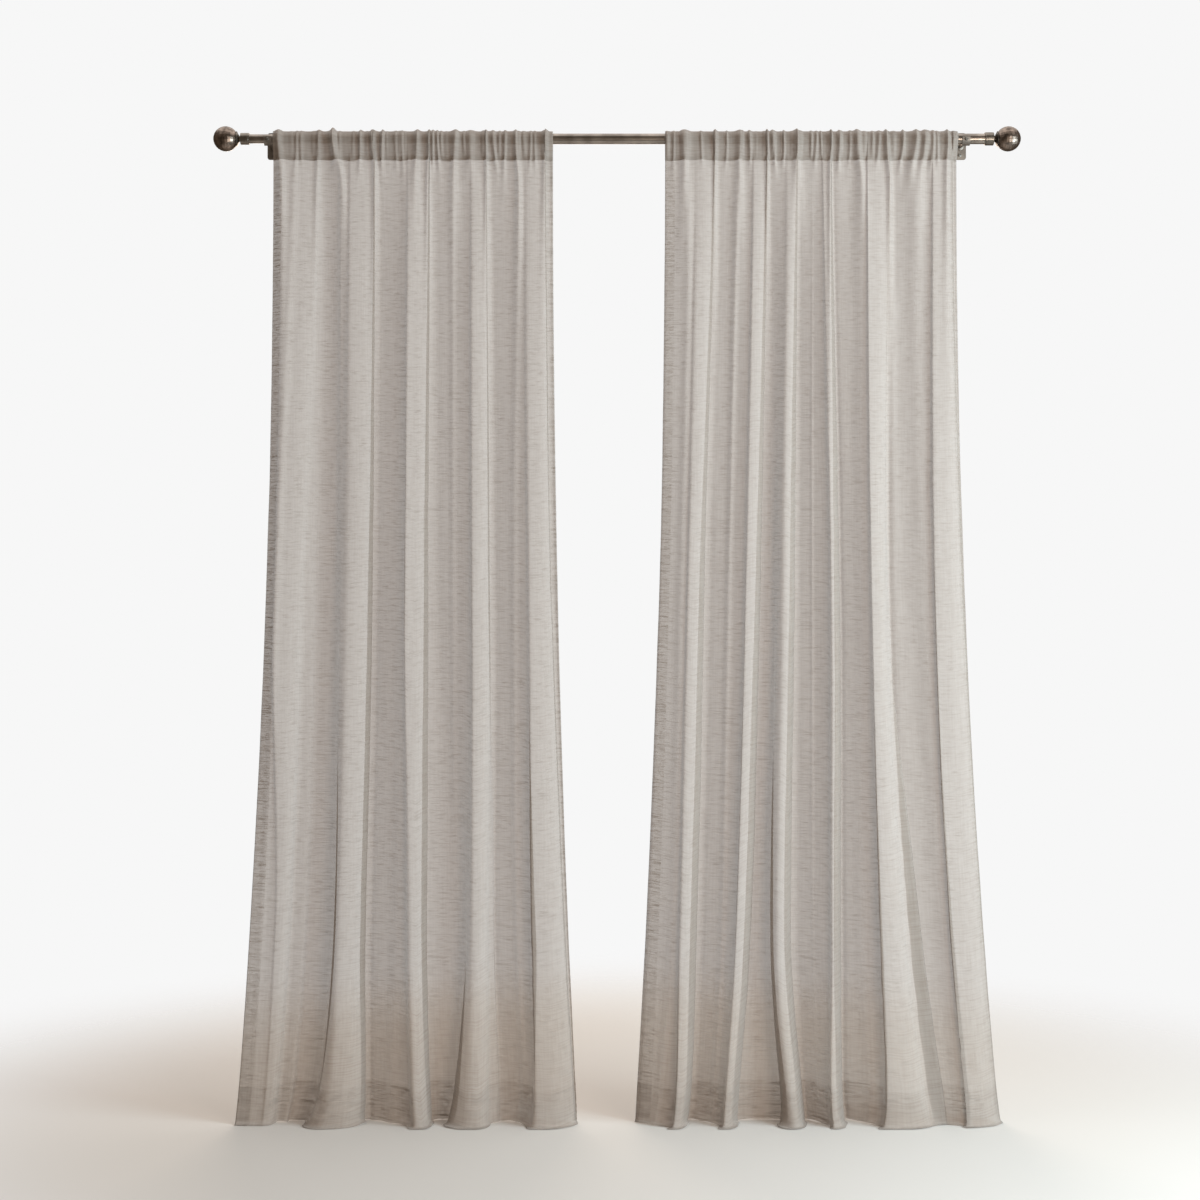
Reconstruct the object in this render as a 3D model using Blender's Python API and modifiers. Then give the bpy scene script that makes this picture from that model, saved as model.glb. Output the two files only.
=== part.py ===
"""Pair of rod-pocket curtain panels on a telescoping rod with ball finials and two wall brackets.

Metres, +Z up. The origin is on the floor, midway between the finials and midway between the
frontmost fold and the tips of the wall screws. +X runs along the rod and -Y faces the room.
"""

import math

import bmesh
import bpy
from mathutils import Vector

# ---- driving dimensions ----
GAP = 0.0003  # left between pieces that touch
MERGE = 0.00001  # points closer than this are one
AXIS = 0.00001  # a turned outline nearer its axis than this meets it
WALL_Y = 0.060  # face of the wall that the brackets are screwed to
PROJECTION = 0.090  # rod axis in front of the wall
ROD_Y = WALL_Y - PROJECTION
ROD_Z = 2.404  # rod axis above the floor

OUTER_R = 0.0127  # 25.4 mm tube, on the right
INNER_R = 0.0110  # 22 mm tube, on the left
TUBE_WALL = 0.0010
TUBE_LENGTH = 1.190  # both tubes are cut to the same length
TUBE_END_X = 0.9155  # outer end of each tube, from the centre

BALL_R = 0.0303
BALL_WALL = 0.0015
BALL_X = 0.9535  # centre of each ball, from the centre of the rod
STUD_R = 0.0030
STUD_HOLE_R = 0.0034
STUD_NUT_R = 0.0055
STUD_NUT = 0.005  # length of the nut inside the ball
NUT_CLEAR = 0.001  # from the lowest point inside the ball to the nut
NECK_R = 0.0068
NECK_FOOT_R = 0.0078  # where the neck stands on the collar
DISH_R = 0.0185
DISH_LIP = 0.001  # width of the dish's rim outside its hollow
DISH_RIM = 0.0015  # thickness of the dish at its rim
DISH_DEPTH = 0.0065  # rim to the start of the waist
WAIST = 0.0085  # rim to the narrowest point
WAIST_R = 0.0088  # where the dish meets the waist
COLLAR_LENGTH = 0.0215
COLLAR_END = 0.0015  # thickness of the collar's end wall
COLLAR_WALL = 0.0032
COLLAR_GROOVE = 0.0007  # chamfer at the closed end and step near the open end
PLUG_LENGTH = 0.016
PLUG_SPACE = 0.002  # from the stud's tip to the inner end of the plug
GUIDE_LENGTH = 0.012
GUIDE_WALL = 0.002
GUIDE_FLANGE = 0.0025
GRUB_R = 0.0015
GRUB_SUNK = 0.0004  # how far the collar screw's end lies below the collar's surface

CRADLE_WIDTH = 0.0195  # along the rod
CRADLE_R = 0.0165
CRADLE_SLACK = 0.0005  # between the rod and the cup
CRADLE_LIP = 0.003  # lips stand this far above the rod axis
CRADLE_PAD = 0.0040  # flat pad at the back of the cradle, for the arm
CRADLE_PAD_HALF = 0.0078  # half of the pad's height
CRADLE_X = 0.8495  # middle of each cradle, from the centre
CRADLE_SCREW_Z = -0.004  # axis of the cradle's screw, from the rod axis
CRADLE_SCREW_R = 0.0020
CRADLE_HEAD_R = 0.0038
CRADLE_HEAD = 0.0035
CRADLE_HEAD_RIM = 0.0008  # chamfer of the screw's head

ARM_R = 0.0060
ARM_FLANGE_R = 0.0102
ARM_FLANGE = 0.004
PLATE_WIDTH = 0.032
PLATE_HEIGHT = 0.066
PLATE_THICK = 0.003
PLATE_CORNER = 0.006
SCREW_SPACING = 0.044
SCREW_R = 0.0020
SCREW_HOLE_R = 0.0024
SCREW_HEAD_R = 0.0040
SCREW_HEAD = 0.0024
SCREW_DOME = 0.0009
SCREW_FLAT_R = 0.0024  # flat top of the domed head
SCREW_LENGTH = 0.023  # under the head, tip included
SCREW_TIP = 0.005

PLEATS = 6  # folds in each panel
CLOTH = 0.0015  # thickness that stands for the gathered cloth
POCKET_R = OUTER_R + 0.0013 + CLOTH / 2  # middle of the cloth, front pleats
NEST = CLOTH + 0.0006  # back pleats pass outside the front ones
EDGE = CLOTH / 2 + GAP  # middle of the cloth from the rod's plane, at a pleat's edge
ARC_STEP = 30  # degrees between rows round the rod
HOOK_DROP = 60  # degrees below level at which a pleat leaves the rod and hangs
HOOK_FREE = 30  # degrees below level at which its other edge ends, behind its neighbours'
ACROSS = 6  # facets across a pleat
HANG = (0.008, 0.036, 0.14, 0.50, 1.20)  # depths below the pocket that have a row of points
FOLD_TOP = 0.004  # depth of a pleat just under the pocket
FOLD_MIDDLE = 0.026
FOLD_BOTTOM = 0.040
HEM_Z = 0.001

# outer and inner edge of each panel, on the rod and at the floor, and which way its first
# pleat swells: the panels' inner pleats swell opposite ways, so that they can pass each other
PANELS = {
    "left": {"rod": (-0.838, -0.156), "floor": (-0.928, -0.098), "first_front": True},
    "right": {"rod": (0.829, 0.117), "floor": (0.934, 0.044), "first_front": False},
}

METAL = ("antique_nickel", (0.30, 0.26, 0.23), 0.34, 1.0)
BALL_METAL = ("hammered_nickel", (0.27, 0.22, 0.19), 0.38, 1.0)
ZINC = ("zinc_steel", (0.62, 0.62, 0.60), 0.35, 1.0)
DARK_PLASTIC = ("dark_plastic", (0.07, 0.06, 0.06), 0.55, 0.0)
SHEER = ("sheer_cloth", (0.55, 0.49, 0.45), 0.90, 0.0)


# ---- helpers ----
def clear_scene():
    for obj in list(bpy.data.objects):
        bpy.data.objects.remove(obj, do_unlink=True)


def collection(name):
    found = bpy.data.collections.new(name)
    bpy.context.scene.collection.children.link(found)
    return found


def material(look):
    name, colour, roughness, metallic = look
    mat = bpy.data.materials.get(name) or bpy.data.materials.new(name)
    mat.use_nodes = True
    shader = mat.node_tree.nodes["Principled BSDF"]
    shader.inputs["Base Color"].default_value = (*colour, 1.0)
    shader.inputs["Roughness"].default_value = roughness
    shader.inputs["Metallic"].default_value = metallic
    return mat


def new_object(name, mesh, look, where=(0.0, 0.0, 0.0), turn=(0.0, 0.0, 0.0), group=None):
    obj = bpy.data.objects.new(name, mesh)
    obj.location = where
    obj.rotation_euler = turn
    (group or parts).objects.link(obj)
    if look:
        mesh.materials.append(material(look))
    return obj


def pivot(name, where):
    empty = bpy.data.objects.new(name, None)
    empty.empty_display_size = 0.03
    empty.location = where
    parts.objects.link(empty)
    return empty


def hold(child, parent):
    """Parent child without moving it."""
    child.location = Vector(child.location) - Vector(parent.location)
    child.parent = parent


def turned(name, outline, look, where, turn, steps=32):
    """Revolve an outline of (radius, height), given down its outer side, about Z.

    An outline that doesn't start on the axis is closed into a ring.
    """
    ring = outline[0][0] > AXIS
    mesh = bpy.data.meshes.new(name)
    points = [(r, 0.0, h) for r, h in outline]
    count = len(points)
    edges = [(i, (i + 1) % count) for i in range(count if ring else count - 1)]
    mesh.from_pydata(points, edges, [])
    obj = new_object(name, mesh, look, where, turn)
    screw = obj.modifiers.new("turn", "SCREW")
    screw.axis = "Z"
    screw.steps = steps
    screw.render_steps = steps
    screw.use_merge_vertices = True
    screw.merge_threshold = MERGE
    screw.use_smooth_shade = False
    return obj


def cut(obj, cutter):
    cutter.hide_render = True
    cutter.display_type = "WIRE"
    boolean = obj.modifiers.new("cut", "BOOLEAN")
    boolean.operation = "DIFFERENCE"
    boolean.object = cutter


def drill(obj, radius, depth, where, turn, steps=20):
    """Cut a round hole of this depth, centred on where, along the turned Z axis."""
    mesh = bpy.data.meshes.new(obj.name + "_drill")
    bm = bmesh.new()
    bmesh.ops.create_cone(
        bm, cap_ends=True, segments=steps, radius1=radius, radius2=radius, depth=depth
    )
    bm.to_mesh(mesh)
    bm.free()
    cut(obj, new_object(mesh.name, mesh, None, where, turn, cutters))


def outline_solid(name, points, thickness, look, where, turn):
    """A flat outline, filled and given this thickness, as a mesh."""
    curve = bpy.data.curves.new(name, "CURVE")
    curve.dimensions = "2D"
    curve.fill_mode = "BOTH"
    curve.extrude = thickness / 2
    spline = curve.splines.new("POLY")
    spline.points.add(len(points) - 1)
    spline.use_cyclic_u = True
    for point, (a, b) in zip(spline.points, points):
        point.co = (a, b, 0.0, 1.0)
    rough = new_object(name + "_outline", curve, None, where, turn)
    bpy.context.view_layer.update()
    graph = bpy.context.evaluated_depsgraph_get()
    mesh = bpy.data.meshes.new_from_object(rough.evaluated_get(graph))
    bpy.data.objects.remove(rough, do_unlink=True)
    bm = bmesh.new()
    bm.from_mesh(mesh)
    bmesh.ops.remove_doubles(bm, verts=bm.verts, dist=MERGE)
    bmesh.ops.recalc_face_normals(bm, faces=bm.faces)
    bm.to_mesh(mesh)
    bm.free()
    return new_object(name, mesh, look, where, turn)


def arc(radius, first, last, count, centre=(0.0, 0.0)):
    """Points along an arc, in degrees."""
    step = (last - first) / (count - 1)
    angles = [math.radians(first + step * i) for i in range(count)]
    return [(centre[0] + radius * math.cos(a), centre[1] + radius * math.sin(a)) for a in angles]


# ---- wall brackets ----
def wall_plate(side, x):
    """Plate with rounded corners and two screw holes, flat against the wall."""
    half_w = PLATE_WIDTH / 2 - PLATE_CORNER
    half_h = PLATE_HEIGHT / 2 - PLATE_CORNER
    points = []
    for quarter, (sx, sy) in enumerate([(1, 1), (-1, 1), (-1, -1), (1, -1)]):
        centre = (sx * half_w, sy * half_h)
        points += arc(PLATE_CORNER, 90 * quarter, 90 * quarter + 90, 5, centre)
    where = (x, WALL_Y - PLATE_THICK / 2, ROD_Z)
    turn = (math.pi / 2, 0.0, 0.0)
    plate = outline_solid(side + "_wall_plate", points, PLATE_THICK, METAL, where, turn)
    for up in (-1, 1):
        hole = (x, where[1], ROD_Z + up * SCREW_SPACING / 2)
        drill(plate, SCREW_HOLE_R, 3 * PLATE_THICK, hole, turn)


def arm(side, x):
    """Round bar from the plate to the back of the cradle."""
    front = ROD_Y + CRADLE_R + CRADLE_PAD + GAP
    back = WALL_Y - PLATE_THICK - GAP
    length = back - front
    outline = [
        (0.0, length),
        (ARM_FLANGE_R, length),
        (ARM_FLANGE_R, length - ARM_FLANGE / 2),
        (ARM_R, length - ARM_FLANGE),
        (ARM_R, 0.0),
        (0.0, 0.0),
    ]
    turned(side + "_arm", outline, METAL, (x, front, ROD_Z), (-math.pi / 2, 0.0, 0.0), 24)


def cradle(side, x, tube_r):
    """Cup, open at the top, that the rod drops into, with a pad at the back for the arm."""
    inner = tube_r + CRADLE_SLACK
    pad = CRADLE_R + CRADLE_PAD
    points = [(-inner, CRADLE_LIP), (-CRADLE_R, CRADLE_LIP)]
    points += arc(CRADLE_R, 180, 330, 13)
    points += [(pad, -CRADLE_PAD_HALF), (pad, CRADLE_PAD_HALF), (inner, CRADLE_PAD_HALF)]
    points += arc(inner, 360, 180, 17)
    turn = (math.pi / 2, 0.0, math.pi / 2)
    where = (x, ROD_Y, ROD_Z)
    cup = outline_solid(side + "_cradle", points, CRADLE_WIDTH, METAL, where, turn)
    hole = (x, ROD_Y - CRADLE_R, ROD_Z + CRADLE_SCREW_Z)
    drill(cup, CRADLE_SCREW_R + GAP, CRADLE_R, hole, (math.pi / 2, 0.0, 0.0), 16)


def cradle_screw(side, x, tube_r):
    """Small screw through the cradle's front wall, its tip just short of the tube."""
    nearest = abs(CRADLE_SCREW_Z) - CRADLE_SCREW_R
    reach = math.sqrt(tube_r**2 - nearest**2) + GAP
    under_head = CRADLE_R + GAP
    top = under_head + CRADLE_HEAD
    outline = [
        (0.0, top),
        (CRADLE_HEAD_R - CRADLE_HEAD_RIM, top),
        (CRADLE_HEAD_R, top - CRADLE_HEAD_RIM),
        (CRADLE_HEAD_R, under_head),
        (CRADLE_SCREW_R, under_head),
        (CRADLE_SCREW_R, reach),
        (0.0, reach),
    ]
    where = (x, ROD_Y, ROD_Z + CRADLE_SCREW_Z)
    turned(side + "_cradle_screw", outline, ZINC, where, (math.pi / 2, 0.0, 0.0), 16)


def wall_screw(name, x, z):
    """Pan-head screw through the plate and into the wall."""
    outline = [
        (0.0, SCREW_HEAD),
        (SCREW_FLAT_R, SCREW_HEAD),
        (SCREW_HEAD_R, SCREW_HEAD - SCREW_DOME),
        (SCREW_HEAD_R, 0.0),
        (SCREW_R, 0.0),
        (SCREW_R, SCREW_TIP - SCREW_LENGTH),
        (0.0, -SCREW_LENGTH),
    ]
    where = (x, WALL_Y - PLATE_THICK - GAP, z)
    turned(name, outline, ZINC, where, (math.pi / 2, 0.0, 0.0), 16)


def bracket(side, x, tube_r):
    wall_plate(side, x)
    arm(side, x)
    cradle(side, x, tube_r)
    cradle_screw(side, x, tube_r)
    wall_screw(side + "_wall_screw_upper", x, ROD_Z + SCREW_SPACING / 2)
    wall_screw(side + "_wall_screw_lower", x, ROD_Z - SCREW_SPACING / 2)


# ---- rod and finials; each is made along Z and laid outwards along X ----
def outwards(side):
    """Turn that points Z away from the middle of the rod."""
    return (0.0, math.pi / 2 if side == "right" else -math.pi / 2, 0.0)


def along_rod(side, distance):
    return (distance if side == "right" else -distance, ROD_Y, ROD_Z)


def tube(name, side, radius):
    outline = [
        (radius, TUBE_LENGTH / 2),
        (radius, -TUBE_LENGTH / 2),
        (radius - TUBE_WALL, -TUBE_LENGTH / 2),
        (radius - TUBE_WALL, TUBE_LENGTH / 2),
    ]
    middle = TUBE_END_X - TUBE_LENGTH / 2
    return turned(name, outline, METAL, along_rod(side, middle), outwards(side))


def end_plug(side, tube_r):
    """Insert in the tube's end that takes the finial's stud."""
    radius = tube_r - TUBE_WALL - GAP
    outline = [
        (radius, 0.0),
        (radius, -PLUG_LENGTH),
        (STUD_HOLE_R, -PLUG_LENGTH),
        (STUD_HOLE_R, 0.0),
    ]
    return turned(
        side + "_end_plug", outline, DARK_PLASTIC, along_rod(side, TUBE_END_X), outwards(side), 24
    )


def tube_guide():
    """Plastic guide in the inner tube's hidden end, which keeps the tubes from rattling."""
    body = INNER_R - TUBE_WALL - GAP
    bore = body - GUIDE_WALL
    rim = OUTER_R - TUBE_WALL - GAP
    outline = [
        (body, GUIDE_LENGTH),
        (body, -GAP),
        (rim, -GAP),
        (rim, -GUIDE_FLANGE),
        (bore, -GUIDE_FLANGE),
        (bore, GUIDE_LENGTH),
    ]
    inner_end = TUBE_END_X - TUBE_LENGTH
    return turned(
        "tube_guide", outline, DARK_PLASTIC, along_rod("left", inner_end), outwards("left"), 24
    )


def collar(side, tube_r):
    """Sleeve over the tube's end, closed except for the stud's hole."""
    inner = tube_r + GAP
    radius = tube_r + COLLAR_WALL
    end = COLLAR_END + GAP
    open_end = end - COLLAR_LENGTH
    outline = [
        (radius - COLLAR_GROOVE, end),
        (radius, end - COLLAR_GROOVE),
        (radius, open_end + 3 * COLLAR_GROOVE),
        (radius - COLLAR_GROOVE, open_end + 2 * COLLAR_GROOVE),
        (radius - COLLAR_GROOVE, open_end),
        (inner, open_end),
        (inner, GAP),
        (STUD_HOLE_R, GAP),
        (STUD_HOLE_R, end),
    ]
    where = along_rod(side, TUBE_END_X)
    ring = turned(side + "_collar", outline, METAL, where, outwards(side))
    hole = (grub_x(side), ROD_Y, ROD_Z - radius)
    drill(ring, GRUB_R + GAP, 3 * COLLAR_WALL, hole, (0.0, 0.0, 0.0), 12)
    return ring


def grub_x(side):
    middle = TUBE_END_X - COLLAR_LENGTH / 2
    return middle if side == "right" else -middle


def collar_screw(side, tube_r):
    """Headless screw that clamps the collar on the tube, from below."""
    where = (grub_x(side), ROD_Y, ROD_Z)
    top = -(tube_r + GAP)
    bottom = -(tube_r + COLLAR_WALL - GRUB_SUNK)
    outline = [(0.0, top), (GRUB_R, top), (GRUB_R, bottom), (0.0, bottom)]
    return turned(side + "_collar_screw", outline, ZINC, where, (0.0, 0.0, 0.0), 12)


def neck(side):
    """Dished washer and short neck between the collar and the ball."""
    centre = (0.0, BALL_X - TUBE_END_X)
    seat_r = BALL_R + 2 * GAP
    rim = math.degrees(math.asin((DISH_R - DISH_LIP) / seat_r))
    bore = math.degrees(math.asin(STUD_HOLE_R / seat_r))
    seat = arc(seat_r, bore - 90, rim - 90, 6, centre)
    back = seat[-1][1]
    start = COLLAR_END + 3 * GAP
    outline = seat + [
        (DISH_R, back - DISH_RIM),
        (WAIST_R, back - DISH_DEPTH),
        (NECK_R, back - WAIST),
        (NECK_FOOT_R, start),
        (STUD_HOLE_R, start),
    ]
    return turned(side + "_neck", outline, METAL, along_rod(side, TUBE_END_X), outwards(side))


def ball(side):
    """Hollow ball with a hole for the stud on the side that faces the rod."""
    outer_edge = math.degrees(math.asin(STUD_HOLE_R / BALL_R))
    inner_r = BALL_R - BALL_WALL
    inner_edge = math.degrees(math.asin(STUD_HOLE_R / inner_r))
    outside = arc(BALL_R, 90, -90 + outer_edge, 14)
    inside = arc(inner_r, -90 + inner_edge, 90, 9)
    return turned(
        side + "_ball", outside + inside, BALL_METAL, along_rod(side, BALL_X), outwards(side), 28
    )


def stud(side):
    """Threaded stud from inside the ball, through the neck and collar, into the end plug."""
    nut = BALL_X - TUBE_END_X - BALL_R + BALL_WALL + NUT_CLEAR
    top = nut + STUD_NUT
    bottom = PLUG_SPACE - PLUG_LENGTH
    outline = [
        (0.0, top),
        (STUD_NUT_R, top),
        (STUD_NUT_R, nut),
        (STUD_R, nut),
        (STUD_R, bottom),
        (0.0, bottom),
    ]
    return turned(side + "_stud", outline, ZINC, along_rod(side, TUBE_END_X), outwards(side), 16)


def rod_half(side, tube_name, tube_r):
    """One tube with what is fixed to it, and its finial on a pivot on the rod's axis."""
    fixed = [
        tube(tube_name, side, tube_r),
        end_plug(side, tube_r),
        collar(side, tube_r),
        collar_screw(side, tube_r),
    ]
    if side == "left":
        fixed.append(tube_guide())
    carrier = pivot(tube_name + "_carrier", along_rod(side, TUBE_END_X))
    for piece in fixed:
        hold(piece, carrier)
    spin = pivot(side + "_finial_pivot", along_rod(side, TUBE_END_X))
    for piece in (neck(side), ball(side), stud(side)):
        hold(piece, spin)


# ---- cloth ----
def fold_depth(drop):
    """How far a pleat stands out from the rod's plane, at this share of the drop."""
    if drop < 0.2:
        return FOLD_TOP + (FOLD_MIDDLE - FOLD_TOP) * math.sqrt(drop / 0.2)
    return FOLD_MIDDLE + (FOLD_BOTTOM - FOLD_MIDDLE) * (drop - 0.2) / 0.8


def pleat_rows(front):
    """Rows down a pleat as (y, z, is it below the pocket), from the rod's axis."""
    radius = POCKET_R if front else POCKET_R + NEST
    degrees = list(range(-HOOK_FREE, 180 + HOOK_DROP + 1, ARC_STEP))
    if not front:
        degrees = [180 - a for a in degrees]
    around = [math.radians(a) for a in degrees]
    rows = [(radius * math.cos(a), radius * math.sin(a), False) for a in around]
    under = rows[-1][1]
    rows += [(0.0, under - drop, True) for drop in HANG]
    rows.append((0.0, HEM_Z - ROD_Z, True))
    return rows


def pleat(side, number):
    """One fold of a panel, hooked round the rod and hanging to the floor.

    Pleats swell towards the room and towards the wall by turns, and each kind keeps to its own
    side of the rod, so that they pass each other when the panel is drawn aside.
    """
    place = PANELS[side]
    front = (number % 2 == 0) == place["first_front"]
    sign = -1 if front else 1
    rows = pleat_rows(front)
    mesh = bpy.data.meshes.new(f"{side}_pleat_{number + 1}")
    bm = bmesh.new()
    bmesh.ops.create_grid(bm, x_segments=ACROSS, y_segments=len(rows) - 1, size=0.5)
    inwards = 1 if place["rod"][1] > place["rod"][0] else -1
    for vert in bm.verts:
        across = vert.co.x + 0.5
        y, z, hangs = rows[round((vert.co.y + 0.5) * (len(rows) - 1))]
        drop = -z / ROD_Z if hangs else 0.0
        share = (number + across) / PLEATS
        on_rod = between(*place["rod"], share)
        on_floor = between(*place["floor"], share)
        clear = inwards * GAP * (1 - 2 * across)
        if hangs:
            y = sign * (EDGE + fold_depth(drop) * math.sin(math.pi * across))
        vert.co = (between(on_rod, on_floor, drop**2) + clear, y, z)
    bmesh.ops.recalc_face_normals(bm, faces=bm.faces)
    bm.to_mesh(mesh)
    bm.free()
    obj = new_object(mesh.name, mesh, SHEER, (0.0, ROD_Y, ROD_Z))
    thick = obj.modifiers.new("cloth", "SOLIDIFY")
    thick.thickness = CLOTH
    thick.offset = 0.0
    thick.use_even_offset = True
    return obj


def between(start, end, share):
    return start + share * (end - start)


def panel(side):
    """One curtain panel, as pleats that slide along the rod."""
    carrier = pivot(side + "_panel_carrier", (PANELS[side]["rod"][0], ROD_Y, ROD_Z))
    for number in range(PLEATS):
        hold(pleat(side, number), carrier)


clear_scene()
parts = collection("curtains_on_rod")
cutters = collection("cutters")
bracket("left", -CRADLE_X, INNER_R)
bracket("right", CRADLE_X, OUTER_R)
rod_half("left", "inner_tube", INNER_R)
rod_half("right", "outer_tube", OUTER_R)
panel("left")
panel("right")
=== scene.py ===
"""Looks of two sheer rod-pocket curtain panels on a metal rod with ball finials.

Metres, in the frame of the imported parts: +X along the rod, -Y towards the room, +Z up.
Every panel is one woven sheet, built as rows of points that follow its folds from the back of
the rod pocket, over the rod, down the front, on to the floor and up behind the bottom hem.
"""

import math
from collections import namedtuple

import bpy
import numpy as np
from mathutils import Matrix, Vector, noise


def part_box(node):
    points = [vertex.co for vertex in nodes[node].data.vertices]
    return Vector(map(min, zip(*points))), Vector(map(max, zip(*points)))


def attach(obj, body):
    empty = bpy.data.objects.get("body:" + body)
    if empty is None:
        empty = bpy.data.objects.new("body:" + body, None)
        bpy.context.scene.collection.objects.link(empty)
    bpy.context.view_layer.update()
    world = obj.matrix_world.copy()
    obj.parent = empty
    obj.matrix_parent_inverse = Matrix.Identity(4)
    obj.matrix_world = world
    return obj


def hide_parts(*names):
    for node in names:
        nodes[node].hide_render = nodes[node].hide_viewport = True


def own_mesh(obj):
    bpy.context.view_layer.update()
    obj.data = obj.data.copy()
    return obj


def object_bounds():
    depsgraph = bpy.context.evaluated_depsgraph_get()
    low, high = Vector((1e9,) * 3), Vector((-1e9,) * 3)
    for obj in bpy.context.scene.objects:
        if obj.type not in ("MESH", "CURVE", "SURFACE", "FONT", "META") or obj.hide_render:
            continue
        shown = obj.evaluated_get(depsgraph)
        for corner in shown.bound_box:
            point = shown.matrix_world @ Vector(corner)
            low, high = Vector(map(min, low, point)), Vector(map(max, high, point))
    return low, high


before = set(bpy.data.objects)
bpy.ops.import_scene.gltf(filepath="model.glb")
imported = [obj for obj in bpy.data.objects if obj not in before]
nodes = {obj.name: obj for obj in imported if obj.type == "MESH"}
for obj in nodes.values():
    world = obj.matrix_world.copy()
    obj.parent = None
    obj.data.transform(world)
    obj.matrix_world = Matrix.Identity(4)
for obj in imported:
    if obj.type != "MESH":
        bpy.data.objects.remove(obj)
cad_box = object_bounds()

# ---- places that the frame gives ----
TUBE_LOW, TUBE_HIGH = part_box("outer_tube")
ROD = (TUBE_LOW + TUBE_HIGH) / 2  # a point on the rod's axis
ROD_R = (TUBE_HIGH.z - TUBE_LOW.z) / 2
FLOOR_Z = cad_box[0].z

# ---- camera ----
CAMERA_AT = Vector((-0.0415, ROD.y - 5.2, 1.28))
CAMERA_LENS = 64.0
SENSOR = 36.0

# ---- a panel's cloth, flat ----
DROP = 2.353  # stitch line of the pocket to the floor
SPARE = 0.030  # most that lies on the floor
POCKET = 0.051  # rod axis to stitch line
SIDE_HEM = 0.030
BOTTOM_HEM = 0.100
LAYER = 0.0007  # from one layer of a hem to the next
BEND_R = 0.008  # of the cloth where it meets the floor
FRONT = 0.049  # how far forward of the rod's axis the cloth may lie on the floor
FRONT_SPARE = 0.004  # and how much further its wrinkles may go
LIFT = 0.0009  # hem's outer layer above the floor
SLACK = 0.0012  # cloth's distance from the rod where it lies closest
RISE = 0.0045  # how far the gathered cloth stands off the top of the rod

COLUMN = 0.0027  # usual step between columns, along the cloth
ROW = 0.0165  # step between rows where the cloth hangs freely
CURVE_STEPS = 12  # samples between two points of a row's curve
DEPTHS = 120  # heights at which a row's curve is worked out
WRINKLE_LONG = 0.0022  # height of the cloth's long wrinkles
WRINKLE_SHORT = 0.0008
FLUTTER_ASIDE = 0.003  # how far the hem's edge strays along the rod
FLUTTER_UP = 0.004  # and off the floor
SEAM_SAG = (0.002, 0.004)  # of the pocket's stitch line: everywhere, and between the gathers
SMALL_GATHER = 0.008  # how far the small gathers stand out of the pocket
SMALL_ASIDE = 0.0015  # how far they push the pinches aside
SLANT = 0.006  # how far the small gathers lean along the rod
NORMAL_SPAN = 8  # columns to each side that a fold's direction at the floor is taken over

# heights that the folds are given at, as shares of the drop: rod, middle, knee and floor
LEVELS = (0.0, 0.46, 0.80, 1.0)
SWELL_LEVELS = (0.0, 0.04, 0.12, 0.46, 0.80, 0.93, 1.0)
CREST = (0.008, 0.012, 0.018, 0.025, 0.030, 0.033, 0.034)  # how far crests stand forward
VALLEY = (0.003, 0.007, 0.014, 0.027, 0.038, 0.046, 0.056)  # how far valleys stand back

# A fold is one swell of cloth, from the edge before it to its own edge on the right.
#   edge: where its right edge is, as a share of the panel's width
#   swell: how far its crest stands forward, as a share of CREST
#   band: share of the fold that faces right, from crest to edge
#   lift: share of the fold at which its left slope is half way up
#   steep: half the share of the fold that the left slope takes
#   sink: how deep the valley after its edge is, as a share of VALLEY
#   tuck: how far the valley after it starts behind its edge; below zero, the edge is soft
SWELL = (1.0, 1.0, 1.0, 1.0)
SINK = (1.0, 1.0, 1.0, 1.0)
LIFT_AT = (0.36, 0.36, 0.38, 0.40)
STEEP = (0.26, 0.26, 0.25, 0.22)
TUCK = (0.003, 0.012, 0.015, 0.012)
Fold = namedtuple(
    "Fold", "edge band swell lift steep sink tuck", defaults=(SWELL, LIFT_AT, STEEP, SINK, TUCK)
)

LEFT_FOLDS = [
    Fold(
        edge=(0.160, 0.134, 0.128, 0.120),
        band=(0.70, 0.72, 0.36, 0.34),
        swell=(1.0, 0.9, 0.30, 0.10),
        lift=(0.10, 0.12, 0.34, 0.36),
        steep=(0.08, 0.10, 0.28, 0.30),
        sink=(0.9, 0.8, 0.9, 0.8),
        tuck=(0.002, -0.015, -0.030, -0.030),
    ),
    Fold(
        edge=(0.364, 0.364, 0.362, 0.378),
        band=(0.42, 0.34, 0.34, 0.36),
        swell=(1.0, 1.0, 1.1, 1.1),
        lift=(0.40, 0.50, 0.58, 0.46),
        steep=(0.14, 0.04, 0.01, 0.02),
    ),
    Fold(
        edge=(0.560, 0.556, 0.557, 0.569),
        band=(0.38, 0.40, 0.26, 0.22),
        swell=(0.9, 1.0, 1.0, 1.1),
        lift=(0.36, 0.36, 0.40, 0.40),
        steep=(0.22, 0.22, 0.26, 0.28),
    ),
    Fold(
        edge=(0.764, 0.767, 0.752, 0.745),
        band=(0.25, 0.28, 0.26, 0.30),
        swell=(0.9, 0.8, 0.9, 1.0),
        lift=(0.45, 0.48, 0.61, 0.42),
        steep=(0.25, 0.22, 0.04, -0.05),
        sink=(1.0, 0.9, 0.75, 0.65),
        tuck=(0.002, 0.004, -0.010, -0.020),
    ),
    Fold(
        edge=(0.974, 0.980, 0.990, 0.999),
        band=(0.28, 0.36, 0.44, 0.46),
        swell=(0.8, 0.9, 1.0, 1.1),
        lift=(0.40, 0.38, 0.38, 0.43),
        steep=(0.22, 0.22, 0.24, 0.06),
        sink=(0.7, 0.7, 0.7, 0.7),
    ),
]

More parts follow.
